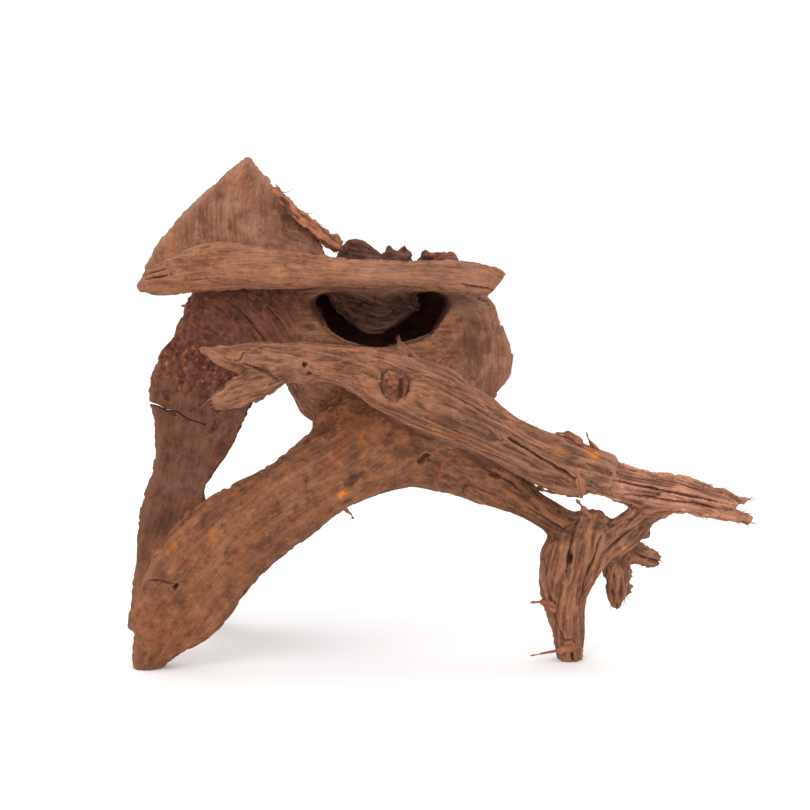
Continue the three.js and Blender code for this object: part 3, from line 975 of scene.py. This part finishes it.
class Nodes:
    """Short words for adding and joining a material's nodes."""

    def __init__(self, name):
        self.material = bpy.data.materials.new(name)
        self.material.use_nodes = True
        self.tree = self.material.node_tree
        self.tree.nodes.clear()

    def add(self, kind, links=None, **values):
        node = self.tree.nodes.new("ShaderNode" + kind)
        for key, value in values.items():
            setattr(node, key, value)
        for socket, source in (links or {}).items():
            self.join(source, node.inputs[socket])
        return node

    def join(self, source, socket):
        if isinstance(source, (int, float, tuple)):
            socket.default_value = source
        else:
            self.tree.links.new(source, socket)

    def math(self, operation, *sources, clamp=False):
        node = self.add("Math", operation=operation, use_clamp=clamp)
        for k, source in enumerate(sources):
            self.join(source, node.inputs[k])
        return node.outputs[0]

    def blend(self, how, amount, first, second):
        node = self.add("Mix", data_type="RGBA", blend_type=how)
        self.join(amount, node.inputs[0])
        self.join(first, node.inputs[6])
        self.join(second, node.inputs[7])
        return node.outputs[2]

    def noise(self, vector, scale, detail=3.0, rough=0.55):
        node = self.add("TexNoise", {"Vector": vector})
        for key, value in zip(("Scale", "Detail", "Roughness"), (scale, detail, rough)):
            node.inputs[key].default_value = value
        return node.outputs["Fac"]

    def spread(self, value, low, high, to_low=0.0, to_high=1.0):
        node = self.add("MapRange", {"Value": value})
        ends = {"From Min": low, "From Max": high, "To Min": to_low, "To Max": to_high}
        for key, value in ends.items():
            node.inputs[key].default_value = value
        return node.outputs[0]

    def scaled(self, vector, along, across):
        node = self.add("Mapping", {"Vector": vector})
        node.inputs["Scale"].default_value = (along, across, across)
        return node.outputs[0]

    def bump(self, height, strength, distance, below=None):
        """Relief in the shading, laid over the relief of another bump."""
        links = {"Height": height, "Normal": below} if below is not None else {"Height": height}
        node = self.add("Bump", links)
        node.inputs["Strength"].default_value = strength
        node.inputs["Distance"].default_value = distance
        return node.outputs[0]

    def attribute(self, name, output):
        return self.add("Attribute", attribute_name=name).outputs[output]


def wood_material(name, fibrous, mottled, roughness):
    """Bare weathered wood: fibres along the grain, furrows darkened as painted shade, ridges paler as wear
    and painted highlight, orange heartwood.
    """
    n = Nodes(name)
    grain = n.attribute("grain", "Vector")
    place = n.add("TexCoord").outputs["Object"]
    furrow = n.attribute("furrow", "Fac")

    streaks = n.noise(n.scaled(grain, 20, 330), 1.0, 4.0, 0.62)
    fibres = n.noise(n.scaled(grain, 60, 1150), 1.0, 3.0, 0.6)
    mottle = n.noise(place, 30, 5.0, 0.62)
    blotch = n.noise(place, 130, 4.0, 0.65)
    patches = n.noise(place, 11, 2.0, 0.5)
    rust = n.noise(place, 62, 4.0, 0.62)
    grit = n.noise(place, 900, 2.0, 0.6)

    colour = n.attribute("tint", "Color")
    light = n.blend("MULTIPLY", 1.0, colour, (1.65, 1.74, 1.78, 1))
    deep = n.blend("MULTIPLY", 1.0, colour, (0.36, 0.27, 0.24, 1))
    warm = n.blend("MULTIPLY", 1.0, colour, (1.12, 0.94, 0.76, 1))
    rusty_red = n.blend("MULTIPLY", 1.0, colour, (1.05, 0.66, 0.42, 1))
    clear = n.attribute("clear", "Fac")
    sunken = n.attribute("cavity", "Fac")

    def mixed(value, low, high, amount, top, streaky=False):
        nonlocal colour
        factor = n.spread(value, low, high, 0, amount)
        if streaky:
            factor = n.math("MULTIPLY", factor, clear)
        colour = n.blend("MIX", factor, colour, top)

    mixed(patches, 0.4, 0.62, 1.0, warm)
    mixed(mottle, 0.52, 0.68, 0.65, light)
    mixed(mottle, 0.49, 0.32, 0.75, deep)
    mixed(rust, 0.52, 0.66, 0.75 * mottled, rusty_red)
    mixed(blotch, 0.53, 0.68, 0.75 * mottled, light)
    mixed(blotch, 0.48, 0.32, 0.85 * mottled, deep)
    mixed(streaks, 0.46, 0.3, 0.6 * fibrous, deep, True)
    mixed(streaks, 0.54, 0.72, 0.55 * fibrous, light, True)
    mixed(fibres, 0.46, 0.3, 0.8 * fibrous, deep, True)
    mixed(fibres, 0.54, 0.72, 0.7 * fibrous, light, True)
    # Painted highlight and wear: the ridges paler. Painted shade: the hollows darker.
    mixed(sunken, -0.1, -0.9, 0.32, light)
    mixed(sunken, 0.1, 0.95, 0.6, deep)
    colour = n.blend("MULTIPLY", n.spread(grit, 0.35, 0.65, 0.35, 0), colour, (0.5, 0.45, 0.42, 1))

    # The stains, with painted shade on the hollow's walls and painted shadows under the front branch and the
    # torn strip.
    dark_red = n.blend("MIX", n.spread(blotch, 0.35, 0.6), (0.028, 0.012, 0.012, 1), (0.1, 0.026, 0.014, 1))
    colour = n.blend("MIX", n.attribute("stain", "Fac"), colour, dark_red)
    crumb = n.noise(place, 260, 4.0, 0.7)
    rusty = n.blend("MIX", n.spread(crumb, 0.36, 0.52), (0.022, 0.009, 0.009, 1), (0.13, 0.032, 0.016, 1))
    rusty = n.blend("MIX", n.spread(crumb, 0.57, 0.68), rusty, (0.5, 0.15, 0.035, 1))
    colour = n.blend("MIX", n.spread(n.attribute("rot", "Fac"), 0, 1, 0, 0.92), colour, rusty)
    orange = n.blend("MIX", n.spread(blotch, 0.35, 0.6), (0.26, 0.055, 0.012, 1), (0.62, 0.2, 0.025, 1))
    colour = n.blend("MIX", n.attribute("heart", "Fac"), colour, orange)
    # Painted shade: furrows, holes, cracks and the knot's cleft darkened towards near black.
    shade = n.math("MULTIPLY", n.math("POWER", furrow, 1.3), 0.62, clamp=True)
    colour = n.blend("MIX", shade, colour, (0.035, 0.013, 0.009, 1))

    fine = n.bump(fibres, 0.75 * fibrous, 0.9 * MM)
    coarse = n.bump(streaks, 0.6 * fibrous, 1.4 * MM, fine)
    dusty = n.bump(grit, 0.25, 0.4 * MM, coarse)

    shader = n.add("BsdfPrincipled", {"Base Color": colour, "Normal": dusty})
    n.join(n.spread(streaks, 0.3, 0.7, roughness + 0.08, roughness - 0.1), shader.inputs["Roughness"])
    shader.inputs["Specular IOR Level"].default_value = 0.28
    output = n.add("OutputMaterial")
    n.join(shader.outputs[0], output.inputs[0])
    return n.material


# Each finish: how fibrous it looks, how mottled, and how rough.
FINISHES = {
    "wood": (0.95, 0.7, 0.82),
    "plate_wood": (0.6, 0.8, 0.84),
    "red_wood": (0.8, 0.9, 0.84),
    "warm_wood": (0.55, 1.0, 0.78),
    "grey_wood": (0.4, 0.8, 0.84),
    "dark_wood": (0.95, 0.9, 0.88),
    "pale_wood": (1.05, 0.6, 0.85),
    "torn_fibre": (1.1, 0.8, 0.88),
    "knot_wood": (0.8, 0.9, 0.8),
}


def material_for(finish):
    name = "weathered_" + finish
    return bpy.data.materials.get(name) or wood_material(name, *FINISHES[finish])


def dress(obj, finish):
    """Gives a finished piece its one material and its place on the body."""
    obj.data.materials.clear()
    obj.data.materials.append(material_for(finish))
    obj.data.polygons.foreach_set("material_index", np.zeros(len(obj.data.polygons), np.int32))
    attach(obj, BODY)


# ---- settings ----------------------------------------------------------------------------------


def colour_property(name, description, default):
    return bpy.props.FloatVectorProperty(
        name=name,
        description=description,
        subtype="COLOR",
        size=3,
        min=0,
        max=1,
        default=default,
    )


class DriftwoodSettings(bpy.types.PropertyGroup):
    grain_size: bpy.props.FloatProperty(
        name="Finest Relief",
        description="Spacing of the surface's points: smaller carves finer grain",
        default=0.8 * MM,
        min=0.6 * MM,
        max=4 * MM,
        unit="LENGTH",
    )
    wood: colour_property("Wood", "Bare wood of the branches and the beam", (0.262, 0.116, 0.063))
    plate_wood: colour_property("Plate Wood", "Greyed thin plates of the crown", (0.245, 0.12, 0.076))
    red_wood: colour_property("Red Wood", "Dark red wood round the hollow", (0.17, 0.06, 0.034))
    warm_wood: colour_property("Warm Wood", "Leg and heart of the root", (0.21, 0.082, 0.036))
    grey_wood: colour_property("Grey Wood", "Thin old blade on the left", (0.135, 0.057, 0.034))
    dark_wood: colour_property("Dark Wood", "Broken wood in the hollow", (0.12, 0.05, 0.035))
    pale_wood: colour_property("Pale Wood", "Dry split branch end", (0.43, 0.195, 0.118))
    torn_fibre: colour_property("Torn Fibre", "Torn strips and splinters", (0.34, 0.14, 0.08))
    knot_wood: colour_property("Knot Wood", "Face of the dead knot", (0.22, 0.085, 0.048))


class StageSettings(bpy.types.PropertyGroup):
    key_power: bpy.props.FloatProperty(
        name="Key Light",
        description="Power of the soft light above the front left",
        default=10,
        min=0,
        unit="POWER",
    )
    camera_distance: bpy.props.FloatProperty(
        name="Camera Distance",
        description="From the camera to the root",
        default=1.5,
        min=0.5,
        unit="LENGTH",
    )
    camera_rise: bpy.props.FloatProperty(
        name="Camera Rise",
        description="How far above level the camera looks from",
        default=math.radians(8),
        subtype="ANGLE",
    )
    view_width: bpy.props.FloatProperty(
        name="View Width",
        description="Width of the view at the root",
        default=0.551,
        min=0.1,
        unit="LENGTH",
    )


# ---- operators ---------------------------------------------------------------------------------


class DRIFTWOOD_OT_root(bpy.types.Operator):
    """Grow the root's limbs, one piece for each, with grain, cracks, knots and stains"""

    bl_idname = "driftwood.root"
    bl_label = "Grow the Root"

    def execute(self, context):
        voxel = settings().grain_size
        root, skin = fused_root(voxel)
        trees = limb_trees()
        distances = limb_distances(skin.co, trees)
        nearest, looks = weather(skin, distances)
        normals = skin.normals()
        labels = steady_labels(skin, nearest, 6)
        mesh = root.data
        store(mesh, "tint", "FLOAT_COLOR", looks["tint"])
        store(mesh, "grain", "FLOAT_VECTOR", looks["grain"])
        store(mesh, "shading", "FLOAT_VECTOR", normals)
        for name in ("furrow", "stain", "heart", "rot", "clear", "cavity", "thick"):
            store(mesh, name, "FLOAT", looks[name])
        made = share_out(root, labels)
        missing = set(LIMBS) - set(made)
        if missing:
            raise RuntimeError(f"these limbs got no surface: {sorted(missing)}")
        for name, obj in made.items():
            obj.name = name + "_surface"
            obj.data.name = obj.name
            close_cuts(obj, trees)
            if name == "left_blade":
                cut_through(obj, blade_crack())
            keep_normals(obj.data)
            dress(obj, LIMBS[name][0])
            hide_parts(name)
        for material in [m for m in bpy.data.materials if m.name.startswith("label_")]:
            bpy.data.materials.remove(material)
        return {"FINISHED"}


def carved_node(name, finish, voxel, stringy, reshape):
    """A small piece on its own: a copy of the node, smoothed, reshaped and dressed."""
    bm = bmesh.new()
    swollen_copy(bm, name, 0.1 * MM)
    mesh = bpy.data.meshes.new(name)
    bm.to_mesh(mesh)
    bm.free()
    obj = link(bpy.data.objects.new(name + "_surface", mesh))
    remesh(obj, voxel)
    skin = Skin(obj.data)
    skin.smooth(3)
    line = GrainLine(name)
    local, step = line.places(skin.co)
    skin.co, furrow, heart = reshape(line, local, step, skin)
    normals = skin.normals()
    threads = ridges(local, 14, 1.6, 7)
    skin.co += normals * (stringy * 0.5 * MM * (threads - 0.5))[:, None]
    # Darker between the threads: painted shade.
    furrow = np.clip(furrow + 0.5 * smoothstep(0.4, 0.0, threads), 0, 1)
    skin.co = keep_inside(skin.co)
    skin.push()
    paint(obj.data, finish, local, furrow, heart)
    dress(obj, finish)
    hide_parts(name)
    return obj


def paint(mesh, finish, local, furrow, heart):
    """Stores what the wood material reads, for a piece of one finish, and shades it smooth."""
    total = len(local)
    tint = np.tile(np.array(getattr(settings(), finish))[None, :3], (total, 1))
    store(mesh, "tint", "FLOAT_COLOR", tint)
    store(mesh, "grain", "FLOAT_VECTOR", local)
    none = np.zeros(total)
    values = {"furrow": furrow, "heart": heart, "stain": none, "rot": none, "cavity": none, "clear": none + 1}
    for key, value in values.items():
        store(mesh, key, "FLOAT", value)
    mesh.polygons.foreach_set("use_smooth", np.ones(len(mesh.polygons), bool))


class DRIFTWOOD_OT_shreds(bpy.types.Operator):
    """Carve the splinters, flakes and thorns that stand off the wood"""

    bl_idname = "driftwood.shreds"
    bl_label = "Carve the Shreds"

    def execute(self, context):
        for name, rooted in SHREDS.items():

            def splinter(line, local, step, skin, rooted=rooted):
                part = np.clip(local[:, 0] / line.length, 0, 1)
                base = 1 - part if rooted == 0 else part
                ragged = 0.75 + 0.5 * noise(np.stack([local[:, 0] / (5 * MM)] * 3, 1), 41)
                ragged = np.clip(ragged + 0.5 * smoothstep(0.6, 1.0, base), 0.35, 1.3)
                across = local[:, 1] * ragged
                deep = local[:, 2] * (0.5 + 0.5 * smoothstep(0.5, 1.0, base))
                along = local[:, 0] + (3.5 * MM if rooted else -3.5 * MM) * base**3
                places = (
                    line.line[step]
                    + (along - line.run[step])[:, None] * line.tangent[step]
                    + across[:, None] * line.across[step]
                    + deep[:, None] * line.deep[step]
                )
                return places, np.zeros(len(local)), np.zeros(len(local))

            carved_node(name, "torn_fibre", 0.35 * MM, 0.9, splinter)
        return {"FINISHED"}


class DRIFTWOOD_OT_frayed_fibres(bpy.types.Operator):
    """Draw out the loose fibres at the torn and broken ends"""

    bl_idname = "driftwood.frayed_fibres"
    bl_label = "Fray the Torn Ends"

    def execute(self, context):
        for order, (name, (start, end), count, long, way) in enumerate(FRAYED):
            surface = bpy.data.objects[name + "_surface"]
            skin_places = corners(surface.data)
            normals = vertex_normals(surface.data)
            line = GrainLine(name)
            local, step = line.places(skin_places)
            part = local[:, 0] / line.length
            near = ((part >= start) & (part <= end)).nonzero()[0]
            if not len(near):
                raise RuntimeError(f"no surface to fray on {name}")
            self.fray(name, skin_places, normals, line, step, near, count, long * MM, way, order)
        return {"FINISHED"}

    def fray(self, name, places, normals, line, step, near, count, long, way, seed):
        random = np.random.default_rng(seed)
        curve = bpy.data.curves.new(name + "_fibres", "CURVE")
        curve.dimensions = "3D"
        curve.bevel_depth = 0.42 * MM
        curve.bevel_resolution = 0
        curve.use_fill_caps = True
        for i in random.choice(near, count):
            out = normals[i]
            run = line.tangent[step[i]] * way
            reach = long * random.uniform(0.25, 0.8)
            curl = random.normal(size=3) * 0.5
            spline = curve.splines.new("POLY")
            spline.points.add(5)
            for k, point in enumerate(spline.points):
                t = k / 5
                lift = (0.35 * t + 0.25 * t * t) * random.uniform(0.7, 1.1)
                place = places[i] - out * 0.5 * MM - run * 0.25 * reach
                place = place + reach * (1.25 * t * run + lift * out * 0.6 + curl * t * t)
                place[2] = max(place[2], 0.4 * MM)
                point.co = (*place, 1)
                point.radius = (1.15 - t) * random.uniform(0.7, 1.1)
        fibres = link(bpy.data.objects.new(name + "_fibres", curve))
        only(fibres)
        bpy.ops.object.convert(target="MESH")
        local, _ = line.places(corners(fibres.data))
        none = np.zeros(len(local))
        paint(fibres.data, "torn_fibre", local, none, none)
        dress(fibres, "torn_fibre")


class DRIFTWOOD_OT_dead_knot(bpy.types.Operator):
    """Carve the dead knot in the front branch, with its rings and its split"""

    bl_idname = "driftwood.dead_knot"
    bl_label = "Carve the Dead Knot"

    def execute(self, context):
        low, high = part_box("dead_knot")
        middle = (low + high) / 2
        reach = (high.x - low.x) / 2

        def rings(line, local, step, skin):
            points = skin.co
            away = np.stack([points[:, 0] - middle.x, points[:, 2] - middle.z], 1)
            away += 0.9 * MM * np.stack([noise(points / (5 * MM), 3), noise(points / (5 * MM), 4)], 1)
            gap = np.hypot(away[:, 0], away[:, 1] * 0.85) / reach
            front = smoothstep(low.y + 6 * MM, low.y + 2 * MM, points[:, 1])
            ring = 0.5 + 0.5 * np.cos(gap * 17 + 2 * noise(points / (4 * MM), 5))
            rib = np.exp(-(((away[:, 0] + 1.5 * MM) / (2.4 * MM)) ** 2))
            cleft = np.exp(-(((away[:, 0] - 4.2 * MM) / (1.5 * MM)) ** 2)) * (away[:, 1] < 6 * MM)
            edge = smoothstep(0.72, 1.0, gap)
            rough = noise(points / (2.2 * MM), 8) + 0.6 * noise(points / (1.2 * MM), 9)
            height = (0.35 * ring + 1.3 * rib - 3.0 * cleft - 2.6 * edge + 0.55 * rough) * front * MM
            # Painted shade in the cleft and the rim groove; the rings darker in their grooves, as ring colour
            # and painted shade.
            furrow = np.clip(0.35 * (1 - ring) + cleft + 0.8 * edge, 0, 1) * front
            heart = 0.28 * rib * smoothstep(-0.2, 0.6, rough) * front * (1 - edge)
            return points + skin.normals() * height[:, None], furrow, heart

        carved_node("dead_knot", "knot_wood", 0.5 * MM, 0.6, rings)
        return {"FINISHED"}


class DRIFTWOOD_OT_stage(bpy.types.Operator):
    """Lay a pale floor and set soft studio lights and the camera"""

    bl_idname = "driftwood.stage"
    bl_label = "Set the Stage"

    def execute(self, context):
        self.lay_floor()
        self.set_lights(context)
        self.set_camera(context)
        context.scene.view_settings.view_transform = "Standard"
        return {"FINISHED"}

    def lay_floor(self):
        bm = bmesh.new()
        bmesh.ops.create_grid(bm, x_segments=2, y_segments=2, size=6)
        mesh = bpy.data.meshes.new("floor")
        bm.to_mesh(mesh)
        bm.free()
        floor = link(bpy.data.objects.new("floor", mesh))
        n = Nodes("pale_floor")
        shader = n.add("BsdfPrincipled")
        shader.inputs["Base Color"].default_value = (0.93, 0.93, 0.93, 1)
        shader.inputs["Roughness"].default_value = 0.9
        n.join(shader.outputs[0], n.add("OutputMaterial").inputs[0])
        mesh.materials.append(n.material)

    def set_lights(self, context):
        world = bpy.data.worlds.new("soft_room")
        world.use_nodes = True
        world.node_tree.nodes["Background"].inputs["Color"].default_value = (1, 1, 1, 1)
        world.node_tree.nodes["Background"].inputs["Strength"].default_value = 1.1
        context.scene.world = world
        power = context.scene.driftwood_stage.key_power
        lights = (
            ("key", (-0.7, -1.3, 1.5), 1.1, power),
            ("fill", (1.1, -1.2, 0.8), 1.2, power * 0.4),
            ("top", (0.1, 0.2, 1.8), 1.0, power * 0.5),
        )
        aim = Vector((0, 0, (CAD_BOX[0].z + CAD_BOX[1].z) / 2))
        for name, place, size, watts in lights:
            lamp = bpy.data.lights.new(name, "AREA")
            lamp.size = size
            lamp.energy = watts
            obj = link(bpy.data.objects.new(name, lamp))
            obj.location = place
            obj.rotation_euler = (aim - Vector(place)).to_track_quat("-Z", "Y").to_euler()

    def set_camera(self, context):
        stage = context.scene.driftwood_stage
        middle = (CAD_BOX[0] + CAD_BOX[1]) / 2
        aim = middle + Vector((-24, -30.6, 6)) * MM
        rise = stage.camera_rise
        back = Vector((0, -math.cos(rise), math.sin(rise))) * stage.camera_distance
        lens = bpy.data.cameras.new("camera")
        lens.sensor_width = 36
        lens.lens = 36 * stage.camera_distance / stage.view_width
        camera = link(bpy.data.objects.new("camera", lens))
        camera.location = aim + back
        camera.rotation_euler = (-back).to_track_quat("-Z", "Y").to_euler()
        context.scene.camera = camera


class DRIFTWOOD_PT_panel(bpy.types.Panel):
    bl_label = "Driftwood Root"
    bl_idname = "DRIFTWOOD_PT_panel"
    bl_space_type = "VIEW_3D"
    bl_region_type = "UI"
    bl_category = "Driftwood"

    def draw(self, context):
        layout = self.layout
        for name in DriftwoodSettings.__annotations__:
            layout.prop(context.scene.driftwood, name)
        for name in StageSettings.__annotations__:
            layout.prop(context.scene.driftwood_stage, name)
        for operator in OPERATORS:
            layout.operator(operator.bl_idname)


OPERATORS = (
    DRIFTWOOD_OT_stage,
    DRIFTWOOD_OT_root,
    DRIFTWOOD_OT_shreds,
    DRIFTWOOD_OT_frayed_fibres,
    DRIFTWOOD_OT_dead_knot,
)
CLASSES = (DriftwoodSettings, StageSettings, *OPERATORS, DRIFTWOOD_PT_panel)


def register():
    for cls in CLASSES:
        bpy.utils.register_class(cls)
    bpy.types.Scene.driftwood = bpy.props.PointerProperty(type=DriftwoodSettings)
    bpy.types.Scene.driftwood_stage = bpy.props.PointerProperty(type=StageSettings)


def unregister():
    del bpy.types.Scene.driftwood_stage
    del bpy.types.Scene.driftwood
    for cls in reversed(CLASSES):
        bpy.utils.unregister_class(cls)


def main():
    register()
    bpy.ops.driftwood.stage()
    bpy.ops.driftwood.root()
    bpy.ops.driftwood.shreds()
    bpy.ops.driftwood.frayed_fibres()
    bpy.ops.driftwood.dead_knot()


if __name__ == "__main__":
    main()
